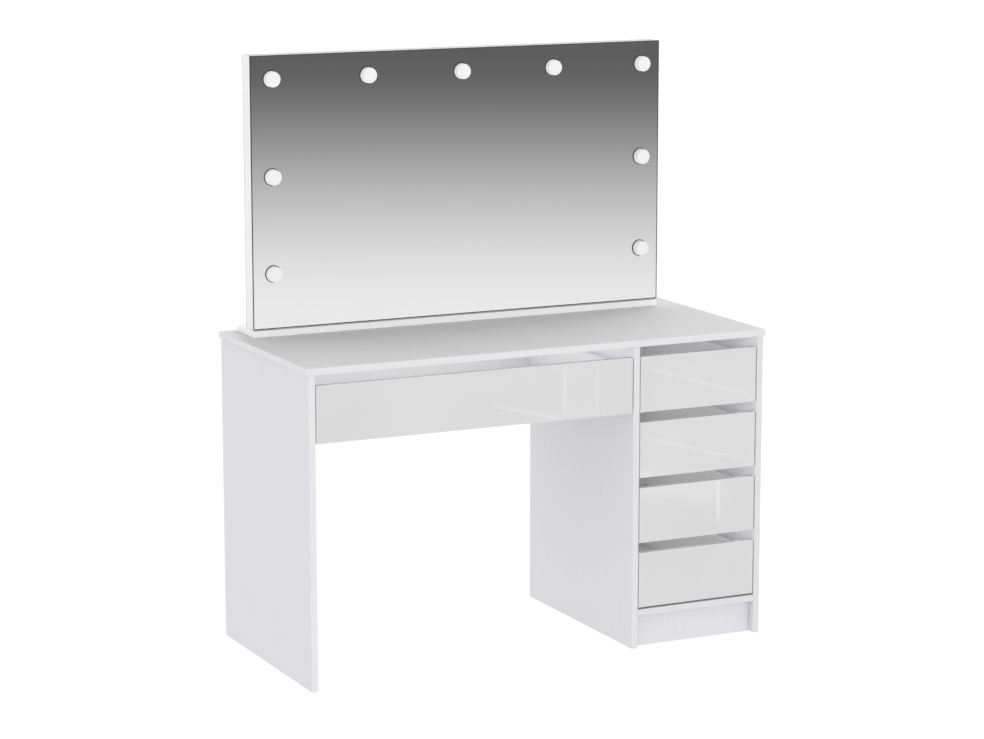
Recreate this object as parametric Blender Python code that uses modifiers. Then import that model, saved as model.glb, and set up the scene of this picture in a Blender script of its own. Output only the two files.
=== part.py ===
"""Dressing table with a lit mirror, built as a carcass, five sliding drawers and a mirror box.

Metres, +Z up. The front faces -Y, the drawer pedestal is on the +X side, and the origin is on the
floor, under the middle of the table top. Each drawer slides out along -Y on its own empty.
"""

import math

import bmesh
import bpy

# Driving dimensions
BOARD = 0.016  # laminated chipboard
THIN_BOARD = 0.003  # hardboard backs and drawer bottoms
FIT = 0.0003  # clearance between two solids that touch
EDGE = 0.0008  # rounding of an edge band

TOP_WIDTH = 1.200
TOP_DEPTH = 0.553
TABLE_HEIGHT = 0.757
SIDE_OVERHANG = 0.005
FRONT_OVERHANG = 0.003
PEDESTAL_WIDTH = 0.355
PLINTH_HEIGHT = 0.080
PLINTH_RECESS = 0.020
REAR_RAIL_HEIGHT = 0.150

FRONT_HEIGHT = 0.135
FINGER_GAP = 0.025
FRONT_SIDE_GAP = 0.003
PEDESTAL_DRAWERS = 4
BOX_HEIGHT = 0.100
BOX_LIFT = 0.015  # from a front's lower edge to its drawer box
BOX_LENGTH = 0.500

RUNNER_SPACE = 0.013  # between a drawer box and the panel beside it
RUNNER_STEEL = 0.0012
RAIL_HEIGHT = 0.035
RAIL_FLANGE = 0.0095
SLIDE_HEIGHT = 0.026
SLIDE_FLANGE = 0.0080
RAIL_SETBACK = 0.002

MIRROR_WIDTH = 1.093
MIRROR_HEIGHT = 0.651
MIRROR_LEFT_INSET = 0.035  # from the left panel's outer face
MIRROR_SETBACK = 0.4216  # from the panels' front edges to the glass
MIRROR_LIFT = 0.003  # from the base plank to the glass
GLASS = 0.004
MIRROR_FRAME_DEPTH = 0.0244
BASE_PLANK_DEPTH = 0.1125

LAMP_SIDE_INSET = 0.0515
LAMP_TOP_INSET = 0.0555
LAMP_ROW_DROP = 0.2315
LAMPS_IN_TOP_ROW = 5
LAMP_RADIUS = 0.019
LAMP_HEIGHT = 0.020
LAMP_RING_RADIUS = 0.0205
LAMP_RING_HEIGHT = 0.003
LAMP_ROUNDING = 0.006
LAMP_NECK_RADIUS = 0.012
LAMP_NECK_LENGTH = 0.024
LAMP_HOLE_RADIUS = 0.0125
LAMP_SIDES = 28
LAMP_ROUNDING_STEPS = 4
LAMP_HOLE_SIDES = 16

DRIVER_SIZE = (0.120, 0.018, 0.030)
DRIVER_INSET = 0.180  # from the mirror's right end to the driver's far end
DRIVER_LIFT = 0.020  # above the frame's lower board
INLET_OFFSET = 0.060  # from the driver to the inlet's axis
INLET_SIDES = 20
INLET_RADIUS = 0.0045
INLET_FLANGE_RADIUS = 0.0080
INLET_FLANGE = 0.0020
INLET_LENGTH = 0.014
INLET_BORE_RADIUS = 0.0032
INLET_BORE_DEPTH = 0.010

# Derived planes
LEFT_X = -TOP_WIDTH / 2 + SIDE_OVERHANG
RIGHT_X = TOP_WIDTH / 2 - SIDE_OVERHANG
DIVIDER_X = RIGHT_X - PEDESTAL_WIDTH
FRONT_Y = -TOP_DEPTH / 2 + FRONT_OVERHANG
REAR_Y = TOP_DEPTH / 2
PANEL_TOP = TABLE_HEIGHT - BOARD
BOX_FRONT_Y = FRONT_Y + BOARD + FIT
MIRROR_X = LEFT_X + MIRROR_LEFT_INSET
GLASS_Y = FRONT_Y + MIRROR_SETBACK
BACKING_Y = GLASS_Y + GLASS + FIT
FRAME_Y = BACKING_Y + BOARD + FIT
COVER_Y = FRAME_Y + MIRROR_FRAME_DEPTH + FIT
PLANK_TOP = TABLE_HEIGHT + FIT + BOARD
GLASS_Z = PLANK_TOP + MIRROR_LIFT
MIRROR_TOP = GLASS_Z + MIRROR_HEIGHT
MIRROR_BOX_Z = PLANK_TOP + FIT

MERGE_DISTANCE = 0.00005


def clear_scene():
    for obj in list(bpy.data.objects):
        bpy.data.objects.remove(obj)


def add_collection(name):
    collection = bpy.data.collections.new(name)
    bpy.context.scene.collection.children.link(collection)
    return collection


def make_material(name, colour, roughness, metallic=0.0):
    material = bpy.data.materials.new(name)
    material.use_nodes = True
    shader = material.node_tree.nodes["Principled BSDF"]
    shader.inputs["Base Color"].default_value = (*colour, 1.0)
    shader.inputs["Roughness"].default_value = roughness
    shader.inputs["Metallic"].default_value = metallic
    material.diffuse_color = (*colour, 1.0)
    return material


clear_scene()
PARTS = add_collection("vanity_table_with_mirror")
CUTTERS = add_collection("cutters")
LAMINATE = make_material("white_laminate", (0.80, 0.80, 0.82), 0.45)
GLOSS = make_material("gloss_white_front", (0.80, 0.80, 0.80), 0.08)
HARDBOARD = make_material("white_hardboard", (0.74, 0.74, 0.72), 0.60)
MIRROR = make_material("mirror_glass", (0.86, 0.88, 0.88), 0.02, 1.0)
OPAL = make_material("opal_lamp", (0.88, 0.88, 0.87), 0.35)
STEEL = make_material("zinc_plated_steel", (0.56, 0.57, 0.58), 0.32, 1.0)
PLASTIC = make_material("black_plastic", (0.03, 0.03, 0.03), 0.45)


def add_object(name, data, material, parent=None):
    """Links an object for the data, in its parent's space, to the parts."""
    obj = bpy.data.objects.new(name, data)
    PARTS.objects.link(obj)
    obj.parent = parent
    if material:
        data.materials.append(material)
    return obj


def add_empty(name, location):
    empty = bpy.data.objects.new(name, None)
    PARTS.objects.link(empty)
    empty.location = location
    return empty


def block_mesh(name, size):
    """A box of the given size about its own origin."""
    mesh = bpy.data.meshes.new(name)
    form = bmesh.new()
    bmesh.ops.create_cube(form, size=1.0)
    bmesh.ops.scale(form, vec=size, verts=form.verts)
    form.to_mesh(mesh)
    form.free()
    return mesh


def centre_of(low, high, parent):
    origin = parent.location if parent else (0.0, 0.0, 0.0)
    return [(a + b) / 2 - c for a, b, c in zip(low, high, origin)]


def add_board(name, low, high, material=None, parent=None, edge=EDGE):
    """A rectangular board between two world corners, with its edges rounded by the edge band."""
    size = [b - a for a, b in zip(low, high)]
    board = add_object(name, block_mesh(name, size), material or LAMINATE, parent)
    board.location = centre_of(low, high, parent)
    if edge:
        bevel = board.modifiers.new("edge_band", "BEVEL")
        bevel.width = edge
        bevel.segments = 2
    return board


def cut(obj, cutter):
    boolean = obj.modifiers.new(cutter.name, "BOOLEAN")
    boolean.operation = "DIFFERENCE"
    boolean.object = cutter


def add_cutter(name, mesh, location, parent=None):
    cutter = bpy.data.objects.new(name, mesh)
    CUTTERS.objects.link(cutter)
    cutter.parent = parent
    cutter.location = location
    cutter.hide_render = True
    cutter.display_type = "WIRE"
    return cutter


def cut_block(obj, low, high, parent=None):
    name = f"{obj.name}_cutter"
    size = [b - a for a, b in zip(low, high)]
    cut(obj, add_cutter(name, block_mesh(name, size), centre_of(low, high, parent), parent))


def cylinder_mesh(name, radius, length, sides):
    """A cylinder about its own origin, along Y."""
    mesh = bpy.data.meshes.new(name)
    form = bmesh.new()
    bmesh.ops.create_cone(
        form, cap_ends=True, segments=sides, radius1=radius, radius2=radius, depth=length
    )
    for vert in form.verts:
        vert.co = (vert.co.x, -vert.co.z, vert.co.y)
    form.to_mesh(mesh)
    form.free()
    return mesh


def cut_round_hole(obj, name, x, y, z, radius, length, sides):
    mesh = cylinder_mesh(name, radius, length, sides)
    cut(obj, add_cutter(name, mesh, (x, y, z)))


def add_turned(name, profile, location, material, sides, facing):
    """A profile of (radius, height) points, top to bottom, turned about the Y axis.

    The top faces -Y where facing is -1, and +Y where it is 1.
    """
    mesh = bpy.data.meshes.new(name)
    edges = [(i, i + 1) for i in range(len(profile) - 1)]
    mesh.from_pydata([(radius, 0.0, height) for radius, height in profile], edges, [])
    turned = add_object(name, mesh, material)
    turned.location = location
    turned.rotation_euler = (-facing * math.pi / 2, 0.0, 0.0)
    screw = turned.modifiers.new("turn", "SCREW")
    screw.steps = sides
    screw.render_steps = sides
    screw.use_merge_vertices = True
    screw.merge_threshold = MERGE_DISTANCE
    screw.use_smooth_shade = True
    return turned


def add_channel(name, web_x, opens, height, flange, length, centre_z, start_y, parent=None):
    """A folded steel channel along Y. Its web's outer face is at web_x and it opens towards opens."""
    half = height / 2
    outline = [
        (0.0, -half),
        (flange, -half),
        (flange, -half + RUNNER_STEEL),
        (RUNNER_STEEL, -half + RUNNER_STEEL),
        (RUNNER_STEEL, half - RUNNER_STEEL),
        (flange, half - RUNNER_STEEL),
        (flange, half),
        (0.0, half),
    ]
    curve = bpy.data.curves.new(name, "CURVE")
    curve.dimensions = "2D"
    curve.fill_mode = "BOTH"
    curve.extrude = length / 2
    spline = curve.splines.new("POLY")
    spline.points.add(len(outline) - 1)
    spline.use_cyclic_u = True
    for point, (across, up) in zip(spline.points, outline):
        point.co = (across * opens, up, 0.0, 1.0)
    channel = add_object(name, curve, STEEL, parent)
    origin = parent.location if parent else (0.0, 0.0, 0.0)
    middle_y = start_y + length / 2
    channel.location = (web_x - origin[0], middle_y - origin[1], centre_z - origin[2])
    channel.rotation_euler = (math.pi / 2, 0.0, 0.0)
    return channel


# The carcass


def build_top_and_panels():
    add_board(
        "table_top",
        (-TOP_WIDTH / 2, -TOP_DEPTH / 2, PANEL_TOP),
        (TOP_WIDTH / 2, TOP_DEPTH / 2, TABLE_HEIGHT),
    )
    panels = {
        "left_side_panel": LEFT_X,
        "pedestal_divider": DIVIDER_X,
        "right_side_panel": RIGHT_X - BOARD,
    }
    for name, x in panels.items():
        add_board(name, (x, FRONT_Y, 0.0), (x + BOARD, REAR_Y, PANEL_TOP - FIT))


def build_pedestal_shell():
    """The floor, the two plinth boards and the back, between the divider and the right panel."""
    left = DIVIDER_X + BOARD + FIT
    right = RIGHT_X - BOARD - FIT
    back_y = REAR_Y - THIN_BOARD
    floor_z = PLINTH_HEIGHT + FIT
    plinth_y = FRONT_Y + PLINTH_RECESS
    rear_plinth_y = back_y - FIT - BOARD
    add_board(
        "pedestal_floor",
        (left, FRONT_Y, floor_z),
        (right, back_y - FIT, PLINTH_HEIGHT + BOARD),
    )
    add_board(
        "front_plinth", (left, plinth_y, 0.0), (right, plinth_y + BOARD, PLINTH_HEIGHT)
    )
    add_board(
        "rear_plinth", (left, rear_plinth_y, 0.0), (right, rear_plinth_y + BOARD, PLINTH_HEIGHT)
    )
    add_board(
        "pedestal_back", (left, back_y, 0.0), (right, REAR_Y, PANEL_TOP - FIT), HARDBOARD, edge=0
    )


def build_rear_rail():
    """The stretcher behind the knee space, which keeps the left panel square to the divider."""
    add_board(
        "rear_rail",
        (LEFT_X + BOARD + FIT, REAR_Y - BOARD, PANEL_TOP - REAR_RAIL_HEIGHT),
        (DIVIDER_X - FIT, REAR_Y, PANEL_TOP - FIT),
    )


# The drawers


def build_drawer(name, bay_left, bay_right, front_z):
    """One drawer and its two cabinet rails, between the faces at bay_left and bay_right."""
    slide = add_empty(name, ((bay_left + bay_right) / 2, FRONT_Y, front_z + FRONT_HEIGHT / 2))
    box_left = bay_left + RUNNER_SPACE
    box_right = bay_right - RUNNER_SPACE
    box_z = front_z + BOX_LIFT
    add_board(
        f"{name}_front",
        (bay_left + FRONT_SIDE_GAP, FRONT_Y, front_z),
        (bay_right - FRONT_SIDE_GAP, FRONT_Y + BOARD, front_z + FRONT_HEIGHT),
        GLOSS,
        slide,
    )
    build_drawer_box(name, box_left, box_right, box_z, slide)
    add_board(
        f"{name}_bottom",
        (box_left, BOX_FRONT_Y, box_z - FIT - THIN_BOARD),
        (box_right, BOX_FRONT_Y + BOX_LENGTH, box_z - FIT),
        HARDBOARD,
        slide,
        edge=0,
    )
    for side, panel_x, box_x, inward in (
        ("left", bay_left, box_left, 1),
        ("right", bay_right, box_right, -1),
    ):
        build_runner(f"{name}_{side}", panel_x, box_x, inward, box_z + BOX_HEIGHT / 2, slide)


def build_drawer_box(name, left, right, low_z, slide):
    """Two sides and a back, glued and dowelled into one open-fronted frame."""
    rear = BOX_FRONT_Y + BOX_LENGTH
    high_z = low_z + BOX_HEIGHT
    box = add_board(
        f"{name}_box", (left, BOX_FRONT_Y, low_z), (right, rear, high_z), LAMINATE, slide, edge=0
    )
    cut_block(
        box,
        (left + BOARD, BOX_FRONT_Y - BOARD, low_z - BOARD),
        (right - BOARD, rear - BOARD, high_z + BOARD),
        slide,
    )


def build_runner(name, panel_x, box_x, inward, centre_z, slide):
    """A side-mounted runner: the rail on the panel, and the slide that nests in it on the box."""
    add_channel(
        f"{name}_rail",
        panel_x + inward * FIT,
        inward,
        RAIL_HEIGHT,
        RAIL_FLANGE,
        BOX_LENGTH,
        centre_z,
        BOX_FRONT_Y + RAIL_SETBACK,
    )
    add_channel(
        f"{name}_slide",
        box_x - inward * FIT,
        -inward,
        SLIDE_HEIGHT,
        SLIDE_FLANGE,
        BOX_LENGTH,
        centre_z,
        BOX_FRONT_Y,
        slide,
    )


def build_drawers():
    top_front_z = PANEL_TOP - FINGER_GAP - FRONT_HEIGHT
    build_drawer("wide_drawer", LEFT_X + BOARD, DIVIDER_X, top_front_z)
    for index in range(PEDESTAL_DRAWERS):
        front_z = top_front_z - index * (FRONT_HEIGHT + FINGER_GAP)
        build_drawer(f"drawer_{index + 1}", DIVIDER_X + BOARD, RIGHT_X - BOARD, front_z)


# The mirror


def lamp_places():
    """Lamp centres (x, z): a row along the top, then two more down each side."""
    left = MIRROR_X + LAMP_SIDE_INSET
    right = MIRROR_X + MIRROR_WIDTH - LAMP_SIDE_INSET
    top = MIRROR_TOP - LAMP_TOP_INSET
    step = (right - left) / (LAMPS_IN_TOP_ROW - 1)
    places = [(left + step * index, top) for index in range(LAMPS_IN_TOP_ROW)]
    for row in (1, 2):
        places += [(x, top - row * LAMP_ROW_DROP) for x in (left, right)]
    return places


def mirror_slab(name, front_y, thickness, low_z, material, edge=EDGE):
    """A slab over the whole width of the mirror, from low_z to its top."""
    return add_board(
        name,
        (MIRROR_X, front_y, low_z),
        (MIRROR_X + MIRROR_WIDTH, front_y + thickness, MIRROR_TOP),
        material,
        edge=edge,
    )


def build_mirror_box():
    """The plank it stands on, the board behind the glass, the frame behind that and the cover."""
    add_board(
        "mirror_base_plank",
        (MIRROR_X, GLASS_Y, TABLE_HEIGHT + FIT),
        (MIRROR_X + MIRROR_WIDTH, GLASS_Y + BASE_PLANK_DEPTH, PLANK_TOP),
    )
    backing = mirror_slab("mirror_backing_board", BACKING_Y, BOARD, MIRROR_BOX_Z, LAMINATE)
    frame = mirror_slab("mirror_box_frame", FRAME_Y, MIRROR_FRAME_DEPTH, MIRROR_BOX_Z, LAMINATE, 0)
    cut_block(
        frame,
        (MIRROR_X + BOARD, FRAME_Y - BOARD, MIRROR_BOX_Z + BOARD),
        (MIRROR_X + MIRROR_WIDTH - BOARD, COVER_Y + BOARD, MIRROR_TOP - BOARD),
    )
    cover = mirror_slab("mirror_back_cover", COVER_Y, THIN_BOARD, MIRROR_BOX_Z, HARDBOARD, 0)
    glass = mirror_slab("mirror_glass", GLASS_Y, GLASS, GLASS_Z, MIRROR)
    return backing, glass, cover


def build_lamps(backing, glass):
    for index, (x, z) in enumerate(lamp_places(), 1):
        for slab, y, thickness in ((backing, BACKING_Y, BOARD), (glass, GLASS_Y, GLASS)):
            name = f"lamp_{index}_{slab.name}_hole"
            middle_y = y + thickness / 2
            cut_round_hole(
                slab, name, x, middle_y, z, LAMP_HOLE_RADIUS, 2 * thickness, LAMP_HOLE_SIDES
            )
        seat = (x, GLASS_Y - FIT, z)
        add_turned(f"lamp_{index}", lamp_profile(), seat, OPAL, LAMP_SIDES, -1)


def lamp_profile():
    """A puck with a rounded rim, on a base ring, with a neck that goes back through the glass."""
    corner_r = LAMP_RADIUS - LAMP_ROUNDING
    corner_z = LAMP_HEIGHT - LAMP_ROUNDING
    profile = [(0.0, LAMP_HEIGHT)]
    for step in range(LAMP_ROUNDING_STEPS + 1):
        angle = math.pi / 2 * (1 - step / LAMP_ROUNDING_STEPS)
        profile.append(
            (corner_r + LAMP_ROUNDING * math.cos(angle), corner_z + LAMP_ROUNDING * math.sin(angle))
        )
    profile += [
        (LAMP_RADIUS, LAMP_RING_HEIGHT),
        (LAMP_RING_RADIUS, LAMP_RING_HEIGHT),
        (LAMP_RING_RADIUS, 0.0),
        (LAMP_NECK_RADIUS, 0.0),
        (LAMP_NECK_RADIUS, -LAMP_NECK_LENGTH),
        (0.0, -LAMP_NECK_LENGTH),
    ]
    return profile


def build_power(cover):
    """The lamps' driver, screwed inside the frame, and the low-voltage inlet in the cover."""
    driver_x = MIRROR_X + MIRROR_WIDTH - DRIVER_INSET
    driver_z = MIRROR_BOX_Z + BOARD + DRIVER_LIFT
    driver_y = COVER_Y - FIT - DRIVER_SIZE[1]
    add_board(
        "led_driver",
        (driver_x, driver_y, driver_z),
        (driver_x + DRIVER_SIZE[0], driver_y + DRIVER_SIZE[1], driver_z + DRIVER_SIZE[2]),
        PLASTIC,
    )
    inlet_x = driver_x - INLET_OFFSET
    inlet_z = driver_z + DRIVER_SIZE[2] / 2
    hole_y = COVER_Y + THIN_BOARD / 2
    hole_radius = INLET_RADIUS + FIT
    cut_round_hole(cover, "inlet_hole", inlet_x, hole_y, inlet_z, hole_radius, BOARD, INLET_SIDES)
    seat = (inlet_x, COVER_Y + THIN_BOARD + FIT, inlet_z)
    add_turned("power_inlet", inlet_profile(), seat, PLASTIC, INLET_SIDES, 1)


def inlet_profile():
    """A flanged socket: the floor of its bore first, up the bore, then down the outside."""
    return [
        (0.0, INLET_FLANGE - INLET_BORE_DEPTH),
        (INLET_BORE_RADIUS, INLET_FLANGE - INLET_BORE_DEPTH),
        (INLET_BORE_RADIUS, INLET_FLANGE),
        (INLET_FLANGE_RADIUS, INLET_FLANGE),
        (INLET_FLANGE_RADIUS, 0.0),
        (INLET_RADIUS, 0.0),
        (INLET_RADIUS, INLET_FLANGE - INLET_LENGTH),
        (0.0, INLET_FLANGE - INLET_LENGTH),
    ]


def build_mirror():
    backing, glass, cover = build_mirror_box()
    build_lamps(backing, glass)
    build_power(cover)


build_top_and_panels()
build_pedestal_shell()
build_rear_rail()
build_drawers()
build_mirror()
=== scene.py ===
"""The finished look of the vanity table with mirror: camera, stage, materials, lamps and fittings.

Metres and +Z up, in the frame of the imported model. The table's front faces -Y.
"""

import math

import bmesh
import bpy
from mathutils import Matrix, Vector


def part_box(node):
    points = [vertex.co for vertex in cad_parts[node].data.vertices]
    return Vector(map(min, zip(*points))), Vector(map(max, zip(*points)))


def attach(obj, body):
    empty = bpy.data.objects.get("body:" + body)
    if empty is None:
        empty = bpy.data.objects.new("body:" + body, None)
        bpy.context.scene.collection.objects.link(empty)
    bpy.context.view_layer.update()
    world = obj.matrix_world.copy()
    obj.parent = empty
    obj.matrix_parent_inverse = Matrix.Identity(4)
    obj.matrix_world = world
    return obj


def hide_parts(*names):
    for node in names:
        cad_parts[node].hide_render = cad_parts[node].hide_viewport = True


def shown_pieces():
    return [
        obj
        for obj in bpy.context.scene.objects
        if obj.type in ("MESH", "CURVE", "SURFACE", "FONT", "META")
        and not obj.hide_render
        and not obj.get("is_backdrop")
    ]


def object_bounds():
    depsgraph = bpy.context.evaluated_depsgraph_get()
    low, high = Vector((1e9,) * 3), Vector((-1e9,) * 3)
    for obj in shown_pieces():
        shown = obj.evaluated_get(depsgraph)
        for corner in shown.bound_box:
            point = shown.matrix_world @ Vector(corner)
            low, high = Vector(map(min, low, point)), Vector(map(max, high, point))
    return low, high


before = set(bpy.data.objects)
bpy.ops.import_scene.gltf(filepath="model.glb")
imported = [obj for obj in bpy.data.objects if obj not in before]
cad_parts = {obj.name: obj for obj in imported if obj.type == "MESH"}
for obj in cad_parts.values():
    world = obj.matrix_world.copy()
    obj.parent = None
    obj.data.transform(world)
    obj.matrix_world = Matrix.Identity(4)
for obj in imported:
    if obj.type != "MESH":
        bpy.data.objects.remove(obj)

CAD_LOW, CAD_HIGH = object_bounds()

# Camera
CAMERA_PLACE = (-3.1496, -6.4762, 2.0112)
CAMERA_YAW = 25.920  # degrees to the right of +Y
CAMERA_PITCH = 10.621  # degrees below the horizon
CAMERA_LENS = 110.693
SENSOR_WIDTH = 36.0
CLIP_NEAR = 0.1
CLIP_FAR = 200.0

# Light
DOME_LIGHT = 1.0
FRONT_LIGHT = 0.23  # watts for each square metre, and so is the back light
FRONT_LIGHT_FROM = (0.10, -1.0, 0.12)
FRONT_LIGHT_SPREAD = 50.0  # degrees
BACK_LIGHT = 1.28
BACK_LIGHT_FROM = (0.66, 0.42, 0.62)
BACK_LIGHT_SPREAD = 60.0
BACK_LIT = ("table_top", "mirror_base_plank")
WIDE_BAY_GLOW = 3.05  # watts for each square metre of a drawer's bay
NARROW_BAY_GLOW = 1.8
BAY_LIGHT_HEIGHT = 0.024  # above a front's upper edge
BAY_LIGHT_INSET = 0.004  # from a front's two ends
BAY_WASH = 0.006  # watts on the right wall of a bay, just behind the front
BAY_WASH_REACH = 0.050  # from the light to the front's right end
BAY_WASH_DEPTH = 0.070
BAY_WASH_HEIGHT = 0.020
FLOOR_SIZE = 90.0
FLOOR_DROP = 0.0005  # under the table, so that the two don't share a plane
FLOOR_GLOW = 0.91
FLOOR_ALBEDO = 0.13

# What shines back from the mirror and the gloss: grey by degrees below the horizon
STUDIO_SPAN = (-6.0, 30.0)
STUDIO_GREYS = (
    (-6.0, 0.118),
    (-3.0, 0.118),
    (3.4, 0.875),
    (4.0, 0.875),
    (4.2, 0.118),
    (4.6, 0.118),
    (9.7, 0.875),
    (17.0, 0.875),
    (19.0, 0.118),
    (25.8, 0.875),
)
CLOUD_BAND = (10.2, 10.8, 16.4, 17.0)  # start, full, fading and end, where the fronts look
CLOUD_PER_RADIAN = 22.0
CLOUD_CONTRAST = 0.30
CLOUD_NOISE = (0.35, 0.65)  # the part of the noise's range that the clouds use
# The studio's bright lines, each with two ends, as degrees right of -Y and below the horizon, a
# strength, and half a width in radians
SEAM = 0.0005
PATCH = 0.0060
LINE_CORE = 0.4  # how much of the half width has the full strength
LINE_UNFADED = 0.6  # and how much of the length, from the middle
STUDIO_LINES = (
    ((27.32, 10.40), (27.32, 11.60), 3.0, SEAM),
    ((27.95, 10.50), (27.95, 11.45), 2.0, SEAM),
    ((25.80, 11.28), (27.40, 11.58), 3.4, SEAM),
    ((28.80, 10.55), (31.10, 11.10), 2.4, SEAM),
    ((28.70, 11.86), (31.10, 12.34), 2.7, SEAM),
    ((30.30, 12.55), (30.30, 13.50), 5.0, SEAM),
    ((27.90, 12.62), (30.60, 12.92), 1.7, PATCH),
)

# Lamps, measured from the lamp's seat on the glass
LAMP_SIDES = 64
LAMP_SEAT_GAP = 0.0002
BEZEL_OUTER = 0.0209
BEZEL_HEIGHT = 0.0026
BEZEL_CHAMFER = 0.0006
OPAL_RADIUS = 0.0190
OPAL_RIM = 0.0050
OPAL_FACE_RADIUS = 0.0118
OPAL_FACE_DISH = 0.0006
OPAL_TAPER = 0.0004
OPAL_CROWN = 0.6  # how much of the dish rises again towards the middle
OPAL_RIM_STEPS = 10
OPAL_FACE_STEPS = 6
NECK_RADIUS = 0.0110
LAMP_PAINTED_GLOW = 0.34  # a painted glow on the opal, standing in for light that comes round through it, as a share of full white

# Mirror
ARRIS_WIDTH = 0.0019
ARRIS_DEPTH = 0.0010
LAMP_HOLE_RADIUS = 0.0125
LAMP_HOLE_SIDES = 48
FACE_ON = 0.999  # how far along Y a face's normal points, on the glass's two large faces

# Fittings
STEEL = 0.0012
BOARD = 0.016
SCREW_RADIUS = 0.0036
SCREW_HEIGHT = 0.0018
NAIL_RADIUS = 0.0022
NAIL_HEIGHT = 0.0007
CAM_RADIUS = 0.0075
CAM_HEIGHT = 0.0005
CAM_SETBACK = 0.034  # from the drawer box's front edge
CAM_MARGIN = 0.026  # from the box's upper and lower edges
RUNNER_SCREW_RADIUS = SCREW_RADIUS * 0.9
RUNNER_SCREW_INSET = 0.035
RUNNER_SCREWS = 3
SCREW_RECESS = 0.62  # a cross recess's reach, as a share of the head's radius
CAM_RECESS = 0.70
RECESS_HALF_WIDTH = 0.11  # also a share of the radius
HEAD_FOOT = 0.96  # and this
RECESS_FLOOR = 0.30  # this and the next three are shares of the head's height
RECESS_TOP = 1.5
HEAD_RIM = 0.35
HEAD_SUNK = 0.5
HEAD_STEPS = 5
HEAD_SIDES = 24
PEDESTAL_DRAWERS = ("drawer_1", "drawer_2", "drawer_3", "drawer_4")

# Shapes in general
SHARP_ABOVE = 32.0  # degrees between two faces
SAME_POINT = 1e-6

# Finishes
SATIN_SPECULAR = 0.35
EDGE_WEAR_AND_HIGHLIGHT_MOST = 0.95  # the palest that an edge gets, from wear and a painted highlight
EDGE_AGREEMENT = 0.86  # of the flat normal with the rounded one, where an edge's mark is at full strength
BAND_TURN = (0.45, 0.55)  # how far along the thickness a normal points, from band to face
MIX_FACTOR, MIX_FIRST, MIX_SECOND, MIX_RESULT = 0, 6, 7, 2  # a Mix node's sockets for colours


# Materials


class Nodes:
    """A node tree under construction."""

    def __init__(self, tree):
        self.tree = tree

    def add(self, kind, **settings):
        node = self.tree.nodes.new("ShaderNode" + kind)
        for key, value in settings.items():
            setattr(node, key, value)
        return node

    def put(self, socket, value):
        """Links another node's output to the socket, or gives the socket a plain value."""
        if isinstance(value, bpy.types.NodeSocket):
            self.tree.links.new(value, socket)
        else:
            socket.default_value = value

    def feed(self, node, **inputs):
        """Fills a node's inputs by name. An underscore in a name stands for a space."""
        for key, value in inputs.items():
            self.put(node.inputs[key.replace("_", " ")], value)
        return node

    def math(self, operation, *values):
        node = self.add("Math", operation=operation)
        for socket, value in zip(node.inputs, values):
            self.put(socket, value)
        return node.outputs[0]

    def dot(self, first, second):
        node = self.add("VectorMath", operation="DOT_PRODUCT")
        self.put(node.inputs[0], first)
        self.put(node.inputs[1], second)
        return node.outputs["Value"]

    def axes(self, vector):
        """The X, Y and Z outputs of a vector."""
        split = self.add("SeparateXYZ")
        self.put(split.inputs[0], vector)
        return split.outputs

    def span(self, value, low, high, from_low=0.3, from_high=0.7, shape="LINEAR"):
        """The value moved to low..high, by default from the middle of a noise's range."""
        node = self.add("MapRange", interpolation_type=shape)
        self.feed(node, Value=value, From_Min=from_low, From_Max=from_high)
        self.feed(node, To_Min=low, To_Max=high)
        return node.outputs["Result"]


class Finish(Nodes):
    """A material under construction, with its Principled shader at hand."""

    def __init__(self, name, metallic=0.0):
        self.material = bpy.data.materials.new(name)
        self.material.use_nodes = True
        super().__init__(self.material.node_tree)
        self.shader = self.tree.nodes["Principled BSDF"]
        self.feed(self.shader, Metallic=metallic)

    def noise(self, per_metre, detail=3.0, roughness=0.5):
        """Noise in the piece's own space, with one frequency or one along each axis."""
        if isinstance(per_metre, float):
            per_metre = (per_metre,) * 3
        place = self.add("TexCoord")
        stretch = self.add("Mapping")
        self.feed(stretch, Vector=place.outputs["Object"], Scale=per_metre)
        noise = self.add("TexNoise")
        self.feed(noise, Vector=stretch.outputs["Vector"], Scale=1.0)
        self.feed(noise, Detail=detail, Roughness=roughness)
        return noise.outputs["Fac"]

    def blend(self, factor, first, second):
        mix = self.add("Mix", data_type="RGBA")
        self.put(mix.inputs[MIX_FACTOR], factor)
        for index, colour in ((MIX_FIRST, first), (MIX_SECOND, second)):
            linked = isinstance(colour, bpy.types.NodeSocket)
            self.put(mix.inputs[index], colour if linked else (*colour, 1.0))
        return mix.outputs[MIX_RESULT]

    def mottle(self, noise, first, second):
        """Two colours in the pattern of a noise."""
        return self.blend(self.span(noise, 0.0, 1.0), first, second)

    def edges(self, radius):
        """1 along the piece's convex edges and 0 away from them."""
        rounded = self.add("Bevel", samples=4)
        self.feed(rounded, Radius=radius)
        flat = self.add("NewGeometry")
        agreement = self.dot(rounded.outputs["Normal"], flat.outputs["Normal"])
        return self.span(agreement, 0.0, 1.0, 1.0, EDGE_AGREEMENT)

    def off_axis(self, axis):
        """1 on a board's edges and 0 on its two faces, from the axis of its thickness."""
        normal = self.axes(self.add("TexCoord").outputs["Normal"])
        return self.span(self.math("ABSOLUTE", normal[axis]), 1.0, 0.0, *BAND_TURN)

    def bump(self, height, distance, strength):
        node = self.add("Bump")
        self.feed(node, Height=height, Distance=distance, Strength=strength)
        self.feed(self.shader, Normal=node.outputs["Normal"])

    def surface(self, colour, noise, smoothest, roughest):
        """The material with this colour, and with a roughness that follows a noise."""
        roughness = self.span(noise, smoothest, roughest)
        self.feed(self.shader, Base_Color=colour, Roughness=roughness)
        return self.material


def shade(colour, factor, most=1.0):
    return [min(channel * factor, most) for channel in colour]


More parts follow.
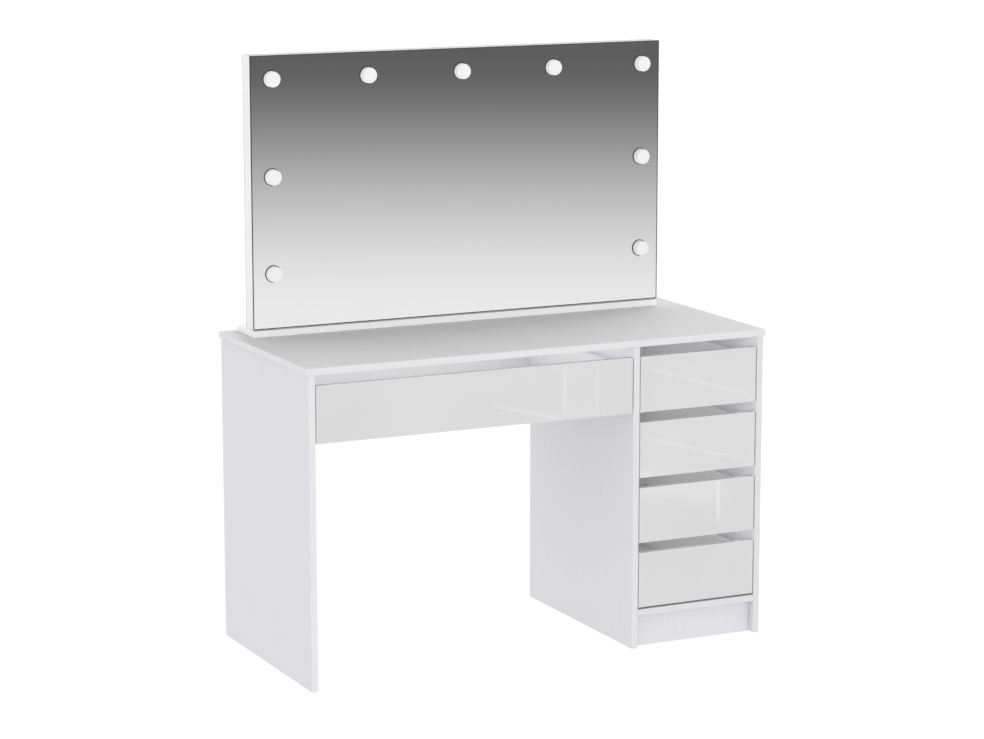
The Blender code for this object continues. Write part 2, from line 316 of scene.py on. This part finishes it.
def laminate(name, colour, band_colour, thickness_axis, grain):
    """Melamine-faced board: a fine pearl texture, faint long fibres, and paler edge bands."""
    finish = Finish(name)
    finish.feed(finish.shader, Specular_IOR_Level=SATIN_SPECULAR)
    fibres = finish.noise(grain, detail=4.0, roughness=0.6)
    face = finish.mottle(fibres, shade(colour, 0.985), shade(colour, 1.012))
    pearl = finish.noise(700.0, detail=2.0)
    band = finish.mottle(pearl, shade(band_colour, 0.99), band_colour)
    finish.bump(pearl, distance=0.00006, strength=0.5)
    board = finish.blend(finish.off_axis(thickness_axis), face, band)
    # Paler along the convex edges: partly wear, partly a painted highlight where an edge catches
    # the light.
    worn_and_highlit = shade(band_colour, 1.05, most=EDGE_WEAR_AND_HIGHLIGHT_MOST)
    board = finish.blend(finish.edges(0.0010), board, worn_and_highlit)
    return finish.surface(board, pearl, 0.38, 0.50)


def gloss_lacquer(name, colour):
    """A lacquered front: deep gloss over a very slight ripple, with a painted highlight along its
    edges.
    """
    finish = Finish(name)
    finish.feed(finish.shader, Coat_Weight=0.6, Coat_Roughness=0.012)
    ripple = finish.noise((16.0, 16.0, 5.0), detail=2.0)
    cloud = finish.noise((5.0, 5.0, 2.5))
    face = finish.mottle(cloud, shade(colour, 0.985), shade(colour, 1.012))
    finish.bump(ripple, distance=0.0006, strength=0.035)
    # Painted highlight: the front's edges are paler, so that they read as bright lines.
    painted_highlight = shade(colour, 1.22, most=EDGE_WEAR_AND_HIGHLIGHT_MOST)
    face = finish.blend(finish.edges(0.0026), face, painted_highlight)
    return finish.surface(face, cloud, 0.06, 0.12)


def hardboard(name, colour):
    """Painted hardboard: matt, with a fine fibre fleck."""
    finish = Finish(name)
    fleck = finish.noise(420.0, detail=5.0, roughness=0.7)
    finish.bump(fleck, distance=0.0001, strength=0.5)
    face = finish.mottle(fleck, shade(colour, 0.95), shade(colour, 1.03))
    return finish.surface(face, fleck, 0.52, 0.68)


def silvered_glass(name):
    """The mirror's face: silver behind clear glass, with the faintest haze."""
    finish = Finish(name, metallic=1.0)
    haze = finish.noise(6.0)
    face = finish.mottle(haze, (0.928, 0.932, 0.930), (0.934, 0.938, 0.936))
    return finish.surface(face, haze, 0.0, 0.006)


def glass_edge(name):
    """The ground and polished rim of the mirror, dark with a green-grey tint."""
    finish = Finish(name)
    streak = finish.noise((90.0, 900.0, 90.0))
    face = finish.mottle(streak, (0.018, 0.022, 0.021), (0.040, 0.046, 0.044))
    return finish.surface(face, streak, 0.10, 0.22)


def mirror_paint(name):
    """The grey protective paint on the back of the mirror."""
    finish = Finish(name)
    spray = finish.noise(260.0)
    finish.bump(spray, distance=0.00005, strength=0.4)
    face = finish.mottle(spray, (0.24, 0.25, 0.26), (0.29, 0.30, 0.31))
    return finish.surface(face, spray, 0.55, 0.70)


def opal_plastic(name):
    """The lamps' frosted diffuser, with a faint painted glow."""
    finish = Finish(name)
    finish.feed(finish.shader, Specular_IOR_Level=SATIN_SPECULAR)
    finish.feed(finish.shader, Subsurface_Weight=0.15, Subsurface_Radius=(0.003, 0.003, 0.003))
    # Painted glow: the opal gives off light of its own, though the lamps are off.
    finish.feed(finish.shader, Emission_Color=(1.0, 1.0, 0.995, 1.0))
    finish.feed(finish.shader, Emission_Strength=LAMP_PAINTED_GLOW)
    frost = finish.noise(900.0, detail=2.0)
    finish.bump(frost, distance=0.00004, strength=0.4)
    face = finish.mottle(frost, (0.53, 0.53, 0.53), (0.56, 0.56, 0.56))
    return finish.surface(face, frost, 0.28, 0.40)


def zinc_steel(name):
    """Zinc-plated steel: cloudy, with fine rolling marks along the runner."""
    finish = Finish(name, metallic=1.0)
    cloud = finish.noise((60.0, 9.0, 60.0), detail=4.0)
    marks = finish.noise((1400.0, 20.0, 1400.0), detail=2.0)
    finish.bump(marks, distance=0.00002, strength=0.4)
    face = finish.mottle(cloud, (0.50, 0.51, 0.53), (0.66, 0.67, 0.68))
    face = finish.blend(finish.edges(0.0006), face, (0.78, 0.79, 0.80))
    return finish.surface(face, cloud, 0.26, 0.40)


def black_plastic(name):
    """Moulded black plastic with a fine spark-eroded grain and slightly rubbed edges."""
    finish = Finish(name)
    grain = finish.noise(1200.0, detail=2.0)
    finish.bump(grain, distance=0.00005, strength=0.6)
    face = finish.mottle(grain, (0.016, 0.016, 0.017), (0.028, 0.028, 0.029))
    face = finish.blend(finish.edges(0.0004), face, (0.06, 0.06, 0.06))
    return finish.surface(face, grain, 0.38, 0.52)


# Linear whites: a board's faces, its edge bands, and the boards that differ
CARCASS_WHITE = (0.733, 0.724, 0.762)
TOP_WHITE = (0.718, 0.718, 0.720)
MIRROR_BOX_WHITE = (0.895, 0.895, 0.897)
# The plank is paler than the mirror box to make up for the little light its front gets: painted
# light.
PLANK_WHITE_PAINTED_LIGHTER = (0.975, 0.975, 0.977)
FRONT_WHITE = (0.661, 0.661, 0.659)
BAND_WHITE = (0.762, 0.757, 0.786)
ODD_BANDS = {
    "table_top": (0.752, 0.748, 0.768),
    "pedestal_divider": (0.734, 0.736, 0.758),
    "pedestal_floor": (0.718, 0.712, 0.737),
    "right_side_panel": (0.712, 0.714, 0.718),
    "mirror_base_plank": PLANK_WHITE_PAINTED_LIGHTER,
    "mirror_backing_board": MIRROR_BOX_WHITE,
    "mirror_box_frame": MIRROR_BOX_WHITE,
}
ODD_FACES = {
    "table_top": TOP_WHITE,
    # The divider's face is paler to make up for the shade under the drawers: painted light.
    "pedestal_divider": (0.773, 0.766, 0.802),
    "mirror_base_plank": PLANK_WHITE_PAINTED_LIGHTER,
    "mirror_backing_board": MIRROR_BOX_WHITE,
    "mirror_box_frame": MIRROR_BOX_WHITE,
}
LEVEL_BOARDS = ("table_top", "mirror_base_plank", "mirror_backing_board", "mirror_box_frame")
UPRIGHT_GRAIN = (150.0, 150.0, 4.0)
LEVEL_GRAIN = (4.0, 150.0, 150.0)
AXES = "XYZ"
GLOSS = gloss_lacquer("gloss_lacquer", FRONT_WHITE)
BACKS = hardboard("painted_hardboard", (0.62, 0.62, 0.608))
SILVER = silvered_glass("silvered_glass")
GLASS_RIM = glass_edge("glass_edge")
MIRROR_PAINT = mirror_paint("mirror_back_paint")
OPAL = opal_plastic("opal_plastic")
ZINC = zinc_steel("zinc_plated_steel")
BLACK = black_plastic("black_plastic")


def thickness_axis(name):
    low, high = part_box(name)
    size = high - low
    return AXES[min(range(3), key=lambda index: size[index])]


def board_finish(name):
    face = ODD_FACES.get(name, CARCASS_WHITE)
    band = ODD_BANDS.get(name, BAND_WHITE)
    grain = LEVEL_GRAIN if name in LEVEL_BOARDS else UPRIGHT_GRAIN
    return laminate(f"laminate_{name}", face, band, thickness_axis(name), grain)


def node_material(name):
    """The finish of a CAD node that stays in view."""
    if name.endswith("_front"):
        return GLOSS
    if name.endswith(("_rail", "_slide")) and name != "rear_rail":
        return ZINC
    if name.endswith(("_bottom", "_back", "_cover")):
        return BACKS
    if name in ("led_driver", "power_inlet"):
        return BLACK
    return board_finish(name)


def dress_nodes():
    for name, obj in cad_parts.items():
        material = node_material(name)
        if not obj.material_slots:
            obj.data.materials.append(material)
        for slot in obj.material_slots:
            slot.material = material


# Shapes


def new_piece(name, mesh, materials, body):
    """An object for the mesh that rides on a body and takes its finish from a slot."""
    obj = bpy.data.objects.new(name, mesh)
    bpy.context.scene.collection.objects.link(obj)
    for material in materials:
        mesh.materials.append(material)
    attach(obj, body)
    return obj


def turned_mesh(name, profile, sides):
    """A closed solid turned about -Y, from (radius, distance out) points that end on the axis."""
    mesh = bpy.data.meshes.new(name)
    form = bmesh.new()
    points = [form.verts.new((radius, -out, 0.0)) for radius, out in profile]
    edges = [form.edges.new(pair) for pair in zip(points, points[1:])]
    bmesh.ops.spin(
        form,
        geom=points + edges,
        cent=(0.0, 0.0, 0.0),
        axis=(0.0, 1.0, 0.0),
        angle=math.tau,
        steps=sides,
    )
    bmesh.ops.remove_doubles(form, verts=form.verts, dist=SAME_POINT)
    bmesh.ops.recalc_face_normals(form, faces=form.faces)
    form.to_mesh(mesh)
    form.free()
    mesh.shade_smooth()
    mesh.set_sharp_from_angle(angle=math.radians(SHARP_ABOVE))
    return mesh


def shares(steps):
    """The ends of equal steps from 0 to 1."""
    return [step / steps for step in range(1, steps + 1)]


def quarter_round(centre_r, centre_out, radius, steps):
    """Profile points round an outer corner, from the side to the face."""
    points = []
    for share in [0.0, *shares(steps)]:
        angle = share * math.pi / 2
        points.append(
            (centre_r + radius * math.cos(angle), centre_out + radius * math.sin(angle))
        )
    return points


def difference(mesh, cutters):
    """The mesh with the cutter meshes taken away."""
    body = bpy.data.objects.new("cut_body", mesh)
    bpy.context.scene.collection.objects.link(body)
    helpers = [body]
    for index, cutter_mesh in enumerate(cutters):
        cutter = bpy.data.objects.new(f"cutter_{index}", cutter_mesh)
        bpy.context.scene.collection.objects.link(cutter)
        modifier = body.modifiers.new(cutter.name, "BOOLEAN")
        modifier.operation = "DIFFERENCE"
        modifier.object = cutter
        helpers.append(cutter)
    graph = bpy.context.evaluated_depsgraph_get()
    result = bpy.data.meshes.new_from_object(body.evaluated_get(graph), depsgraph=graph)
    for helper in helpers:
        bpy.data.objects.remove(helper)
    return result


def block_mesh(name, low, high):
    mesh = bpy.data.meshes.new(name)
    form = bmesh.new()
    bmesh.ops.create_cube(form, size=1.0)
    low, high = Vector(low), Vector(high)
    bmesh.ops.scale(form, vec=high - low, verts=form.verts)
    bmesh.ops.translate(form, vec=(low + high) / 2, verts=form.verts)
    form.to_mesh(mesh)
    form.free()
    return mesh


def head_mesh(name, radius, height, recess=0.0):
    """A domed fastener head about -Y, with a cross recess of the given share of its radius."""
    sunk, edge = -height * HEAD_SUNK, height * HEAD_RIM
    profile = [(0.0, sunk), (radius * HEAD_FOOT, sunk), (radius, 0.0), (radius, edge)]
    for share in shares(HEAD_STEPS):
        rise = (height - edge) * math.sin(share * math.pi / 2)
        profile.append((radius * (1.0 - share), edge + rise))
    mesh = turned_mesh(name, profile, HEAD_SIDES)
    if not recess:
        return mesh
    arm, half = radius * recess, radius * RECESS_HALF_WIDTH
    top, floor = -height * RECESS_TOP, -height * RECESS_FLOOR
    slots = [
        block_mesh("slot_across", (-arm, top, -half), (arm, floor, half)),
        block_mesh("slot_up", (-half, top, -arm), (half, floor, arm)),
    ]
    return difference(mesh, slots)


def add_fasteners(name, mesh, places, body):
    """One zinc-plated piece made of a copy of the mesh at each matrix."""
    joined = bpy.data.meshes.new(name)
    form = bmesh.new()
    for place in places:
        copy = mesh.copy()
        copy.transform(place)
        form.from_mesh(copy)
        bpy.data.meshes.remove(copy)
    form.to_mesh(joined)
    form.free()
    new_piece(name, joined, [ZINC], body)


def facing(place, degrees):
    """A place for something made about -Y, turned about Z: 180 faces +Y, 90 faces +X."""
    return Matrix.Translation(place) @ Matrix.Rotation(math.radians(degrees), 4, "Z")


# The mirror and its lamps


def middle(node):
    low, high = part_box(node)
    return (low + high) / 2


def lamp_nodes():
    return sorted(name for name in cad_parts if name.startswith("lamp_"))


def build_mirror_plate():
    """The glass: a silvered plate with a ground arris round its face and a hole for each lamp."""
    low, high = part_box("mirror_glass")
    form = bmesh.new()
    mesh = block_mesh("mirror_plate", low, high)
    form.from_mesh(mesh)
    form.faces.ensure_lookup_table()
    face = min(form.faces, key=lambda f: f.calc_center_median().y)
    outline = list(face.verts)
    bmesh.ops.inset_region(form, faces=[face], thickness=ARRIS_WIDTH, use_even_offset=True)
    bmesh.ops.translate(form, vec=(0.0, ARRIS_DEPTH, 0.0), verts=outline)
    form.to_mesh(mesh)
    form.free()
    hole_profile = [(0.0, -BOARD), (LAMP_HOLE_RADIUS, -BOARD), (LAMP_HOLE_RADIUS, BOARD)]
    hole_profile.append((0.0, BOARD))
    holes = []
    for node in lamp_nodes():
        centre = middle(node)
        hole = turned_mesh("lamp_hole", hole_profile, LAMP_HOLE_SIDES)
        hole.transform(Matrix.Translation((centre.x, low.y, centre.z)))
        holes.append(hole)
    plate_mesh = difference(mesh, holes)
    plate_mesh.materials.clear()
    plate = new_piece(
        "mirror_plate", plate_mesh, [SILVER, GLASS_RIM, MIRROR_PAINT], "carcass"
    )
    for polygon in plate_mesh.polygons:
        polygon.use_smooth = False
        facing_y = polygon.normal.y
        polygon.material_index = 0 if facing_y < -FACE_ON else 2 if facing_y > FACE_ON else 1
    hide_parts("mirror_glass")


def build_lamps():
    seat_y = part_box("mirror_glass")[0].y - LAMP_SEAT_GAP
    for node in lamp_nodes():
        low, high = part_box(node)
        place = Matrix.Translation((middle(node).x, seat_y, middle(node).z))
        proud = seat_y - low.y
        bezel_profile = [
            (0.0, -(high.y - seat_y)),
            (NECK_RADIUS, -(high.y - seat_y)),
            (NECK_RADIUS, 0.0),
            (BEZEL_OUTER, 0.0),
            (BEZEL_OUTER, BEZEL_HEIGHT - BEZEL_CHAMFER),
            (BEZEL_OUTER - BEZEL_CHAMFER, BEZEL_HEIGHT),
            (0.0, BEZEL_HEIGHT),
        ]
        bezel_mesh = turned_mesh(f"{node}_bezel", bezel_profile, LAMP_SIDES)
        bezel_mesh.transform(place)
        bezel = new_piece(f"{node}_bezel", bezel_mesh, [BLACK], "carcass")
        opal_mesh = turned_mesh(f"{node}_diffuser", opal_profile(proud), LAMP_SIDES)
        opal_mesh.transform(place)
        opal = new_piece(f"{node}_diffuser", opal_mesh, [OPAL], "carcass")
        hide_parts(node)
        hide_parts(node)


def opal_profile(proud):
    """A puck with a generously rounded rim and a face dished very slightly inside it."""
    base = BEZEL_HEIGHT + LAMP_SEAT_GAP
    rim_r = OPAL_RADIUS - OPAL_TAPER - OPAL_RIM
    profile = [(0.0, base), (OPAL_RADIUS, base)]
    profile += quarter_round(rim_r, proud - OPAL_RIM, OPAL_RIM, OPAL_RIM_STEPS)
    for share in shares(OPAL_FACE_STEPS):
        radius = rim_r + (OPAL_FACE_RADIUS - rim_r) * share
        dish = OPAL_FACE_DISH * (1 - math.cos(share * math.pi)) / 2
        profile.append((radius, proud - dish))
    for share in shares(OPAL_FACE_STEPS):
        crown = OPAL_FACE_DISH * OPAL_CROWN * math.sin(share * math.pi / 2)
        profile.append((OPAL_FACE_RADIUS * (1 - share), proud - OPAL_FACE_DISH + crown))
    return profile


# Fittings


def spread(low, high, inset, count):
    """Evenly spaced values from low to high, with an inset at both ends."""
    first, last = low + inset, high - inset
    return [first + (last - first) * index / (count - 1) for index in range(count)]


def rim_places(node, inset, columns, rows):
    """Places round a rear board's edge, on its outer face, for fasteners that face +Y."""
    low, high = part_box(node)
    xs = spread(low.x, high.x, inset, columns)
    zs = spread(low.z, high.z, inset, rows)
    spots = [(x, z) for x in xs for z in (zs[0], zs[-1])]
    spots += [(x, z) for x in (xs[0], xs[-1]) for z in zs[1:-1]]
    return [facing((x, high.y, z), 180.0) for x, z in spots]


def build_back_fasteners():
    screw = head_mesh("screw_head", SCREW_RADIUS, SCREW_HEIGHT, SCREW_RECESS)
    nail = head_mesh("nail_head", NAIL_RADIUS, NAIL_HEIGHT)
    cover_places = rim_places("mirror_back_cover", inset=0.009, columns=7, rows=4)
    back_places = rim_places("pedestal_back", inset=0.008, columns=4, rows=7)
    add_fasteners("back_cover_screws", screw, cover_places, "carcass")
    add_fasteners("pedestal_back_nails", nail, back_places, "carcass")


def runner_places(node, outward):
    """Places along a runner's web, on the side that faces its partner."""
    low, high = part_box(node)
    web_x = low.x + STEEL if outward > 0 else high.x - STEEL
    turn = 90.0 if outward > 0 else -90.0
    middle_z = (low.z + high.z) / 2
    ys = spread(low.y, high.y, RUNNER_SCREW_INSET, RUNNER_SCREWS)
    return [facing((web_x, y, middle_z), turn) for y in ys]


def build_drawer_fittings():
    screw = head_mesh("runner_screw_head", RUNNER_SCREW_RADIUS, SCREW_HEIGHT, SCREW_RECESS)
    cam = head_mesh("cam_head", CAM_RADIUS, CAM_HEIGHT, CAM_RECESS)
    for name in ("wide_drawer", *PEDESTAL_DRAWERS):
        for part, left_outward, body in (("rail", 1, "carcass"), ("slide", -1, name)):
            places = runner_places(f"{name}_left_{part}", left_outward)
            places += runner_places(f"{name}_right_{part}", -left_outward)
            add_fasteners(f"{name}_{part}_screws", screw, places, body)
        low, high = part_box(f"{name}_box")
        cam_places = [
            facing((x, low.y + CAM_SETBACK, z), turn)
            for x, turn in ((low.x + BOARD, 90.0), (high.x - BOARD, -90.0))
            for z in (low.z + CAM_MARGIN, high.z - CAM_MARGIN)
        ]
        add_fasteners(f"{name}_cams", cam, cam_places, name)


# Stage


def build_floor():
    mesh = bpy.data.meshes.new("floor")
    form = bmesh.new()
    bmesh.ops.create_grid(form, x_segments=1, y_segments=1, size=FLOOR_SIZE / 2)
    form.to_mesh(mesh)
    form.free()
    floor = bpy.data.objects.new("floor", mesh)
    bpy.context.scene.collection.objects.link(floor)
    floor.location = (0.0, 0.0, CAD_LOW.z - FLOOR_DROP)
    finish = Finish("floor_white")
    finish.feed(finish.shader, Base_Color=(FLOOR_ALBEDO,) * 3 + (1.0,))
    finish.feed(finish.shader, Roughness=0.9, Specular_IOR_Level=0.0)
    finish.feed(finish.shader, Emission_Color=(1.0, 1.0, 1.0, 1.0), Emission_Strength=FLOOR_GLOW)
    mesh.materials.append(finish.material)
    floor.visible_glossy = False
    floor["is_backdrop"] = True


class WorldNodes(Nodes):
    """The world's node tree, with the few helpers that its light needs."""

    def __init__(self, name):
        world = bpy.data.worlds.new(name)
        bpy.context.scene.world = world
        world.use_nodes = True
        super().__init__(world.node_tree)
        self.background = self.tree.nodes["Background"]

    def ease(self, value, from_low, from_high, low=0.0, high=1.0):
        return self.span(value, low, high, from_low, from_high, "SMOOTHSTEP")

    def greys(self, value, stops):
        """A smooth grey scale over a value from 0 to 1."""
        node = self.add("ValToRGB")
        node.color_ramp.interpolation = "EASE"
        elements = node.color_ramp.elements
        while len(elements) < len(stops):
            elements.new(1.0)
        for element, (place, grey) in zip(elements, stops):
            element.position = place
            element.color = (grey, grey, grey, 1.0)
        self.put(node.inputs["Fac"], value)
        return node.outputs["Color"]


def build_world():
    """An even white dome. Only in reflections it is a studio with soft dark and light bands."""
    world = WorldNodes("studio")
    direction = world.add("TexCoord").outputs["Generated"]
    up = world.math("ARCSINE", world.axes(direction)["Z"])
    below = world.math("MULTIPLY", up, -math.degrees(1.0))
    first, last = STUDIO_SPAN
    share = world.math("DIVIDE", world.math("SUBTRACT", below, first), last - first)
    stops = [((degrees - first) / (last - first), grey) for degrees, grey in STUDIO_GREYS]
    shine = world.math("ADD", world.greys(share, stops), clouds(world, direction, below))
    for line in STUDIO_LINES:
        shine = world.math("ADD", shine, studio_line(world, direction, *line))
    glossy = world.add("LightPath").outputs["Is Glossy Ray"]
    dome = world.math("MULTIPLY", world.math("SUBTRACT", 1.0, glossy), DOME_LIGHT)
    level = world.math("ADD", world.math("MULTIPLY", glossy, shine), dome)
    world.feed(world.background, Strength=level, Color=(1.0, 1.0, 1.0, 1.0))


def clouds(world, direction, below):
    """Faint patches, like a room out of focus, for the gloss of the drawer fronts."""
    start, full, fading, end = CLOUD_BAND
    band = world.math(
        "MULTIPLY", world.ease(below, start, full), world.ease(below, fading, end, 1.0, 0.0)
    )
    noise = world.add("TexNoise")
    world.feed(noise, Vector=direction, Scale=CLOUD_PER_RADIAN)
    patch = world.ease(noise.outputs["Fac"], *CLOUD_NOISE, -CLOUD_CONTRAST, CLOUD_CONTRAST)
    return world.math("MULTIPLY", band, patch)


def studio_direction(place):
    """The direction at (degrees right of -Y, degrees below the horizon)."""
    turn, drop = (math.radians(degrees) for degrees in place)
    level = math.cos(drop)
    return Vector((math.sin(turn) * level, -math.cos(turn) * level, -math.sin(drop)))


def studio_line(world, direction, start, end, strength, half_width):
    """A straight line of light, which fades towards its sides and its two ends."""
    first, last = studio_direction(start), studio_direction(end)
    halfway = (first + last).normalized()
    reach = halfway.angle(first)
    off = world.math("ABSOLUTE", world.dot(direction, first.cross(last).normalized()))
    line = world.ease(off, half_width * LINE_CORE, half_width, strength, 0.0)
    fade_from, fade_to = math.cos(reach), math.cos(reach * LINE_UNFADED)
    along = world.ease(world.dot(direction, halfway), fade_from, fade_to)
    return world.math("MULTIPLY", line, along)


def add_light(name, kind, energy, place, towards):
    """A light that isn't seen itself, at a place, with the direction that it comes from."""
    light = bpy.data.objects.new(name, bpy.data.lights.new(name, kind))
    bpy.context.scene.collection.objects.link(light)
    light.data.energy = energy
    light.location = place
    light.rotation_euler = Vector(towards).to_track_quat("Z", "Y").to_euler()
    light.visible_camera = False
    light.visible_glossy = False
    return light


def shine_on(light, nodes):
    """Keeps a light to some of the CAD nodes. Everything still shades them from it."""
    receivers = bpy.data.collections.new(f"{light.name}_receivers")
    for name in nodes:
        receivers.objects.link(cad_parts[name])
    light.light_linking.receiver_collection = receivers


def build_lights():
    """A broad front light, one from behind that the mirror shades, and those in the bays."""
    front = add_light("front_light", "SUN", FRONT_LIGHT, (0.0, -3.0, 2.0), FRONT_LIGHT_FROM)
    front.data.angle = math.radians(FRONT_LIGHT_SPREAD)
    back = add_light("back_light", "SUN", BACK_LIGHT, (2.0, 2.0, 2.0), BACK_LIGHT_FROM)
    back.data.angle = math.radians(BACK_LIGHT_SPREAD)
    shine_on(back, BACK_LIT)
    add_bay_glow("wide_drawer", WIDE_BAY_GLOW)
    for name in PEDESTAL_DRAWERS:
        add_bay_glow(name, NARROW_BAY_GLOW)
        add_bay_wash(name)


def add_bay_glow(name, density):
    """A level light under the top of a drawer's bay, which shines down over the whole drawer."""
    low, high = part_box(f"{name}_front")
    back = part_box(f"{name}_box")[1].y
    width, depth = high.x - low.x - 2 * BAY_LIGHT_INSET, back - low.y
    place = ((low.x + high.x) / 2, (low.y + back) / 2, high.z + BAY_LIGHT_HEIGHT)
    glow = add_light(
        f"{name}_bay_glow", "AREA", density * width * depth, place, (0.0, 0.0, 1.0)
    )
    glow.data.shape = "RECTANGLE"
    glow.data.size, glow.data.size_y = width, depth


def add_bay_wash(name):
    """A small light on the wall at the right end of a drawer's bay."""
    low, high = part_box(f"{name}_front")
    top = high.z + BAY_LIGHT_HEIGHT
    wash = add_light(
        f"{name}_bay_wash",
        "AREA",
        BAY_WASH,
        (high.x - BAY_WASH_REACH, low.y + BAY_WASH_DEPTH / 2, top - BAY_WASH_HEIGHT / 2),
        (-1.0, 0.0, 0.0),
    )
    wash.data.shape = "RECTANGLE"
    wash.data.size, wash.data.size_y = BAY_WASH_DEPTH, BAY_WASH_HEIGHT


def build_camera():
    data = bpy.data.cameras.new("camera")
    data.lens = CAMERA_LENS
    data.sensor_width = SENSOR_WIDTH
    data.clip_start, data.clip_end = CLIP_NEAR, CLIP_FAR
    camera = bpy.data.objects.new("camera", data)
    bpy.context.scene.collection.objects.link(camera)
    camera.location = CAMERA_PLACE
    camera.rotation_euler = (
        math.radians(90.0 - CAMERA_PITCH),
        0.0,
        math.radians(-CAMERA_YAW),
    )
    bpy.context.scene.camera = camera


def hide_from_reflections():
    """The mirror shows the studio alone, as it does in a catalogue picture."""
    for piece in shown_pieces():
        piece.visible_glossy = False


build_camera()
dress_nodes()
build_mirror_plate()
build_lamps()
build_back_fasteners()
build_drawer_fittings()
build_floor()
build_world()
build_lights()
hide_from_reflections()
bpy.context.scene.view_settings.view_transform = "Standard"
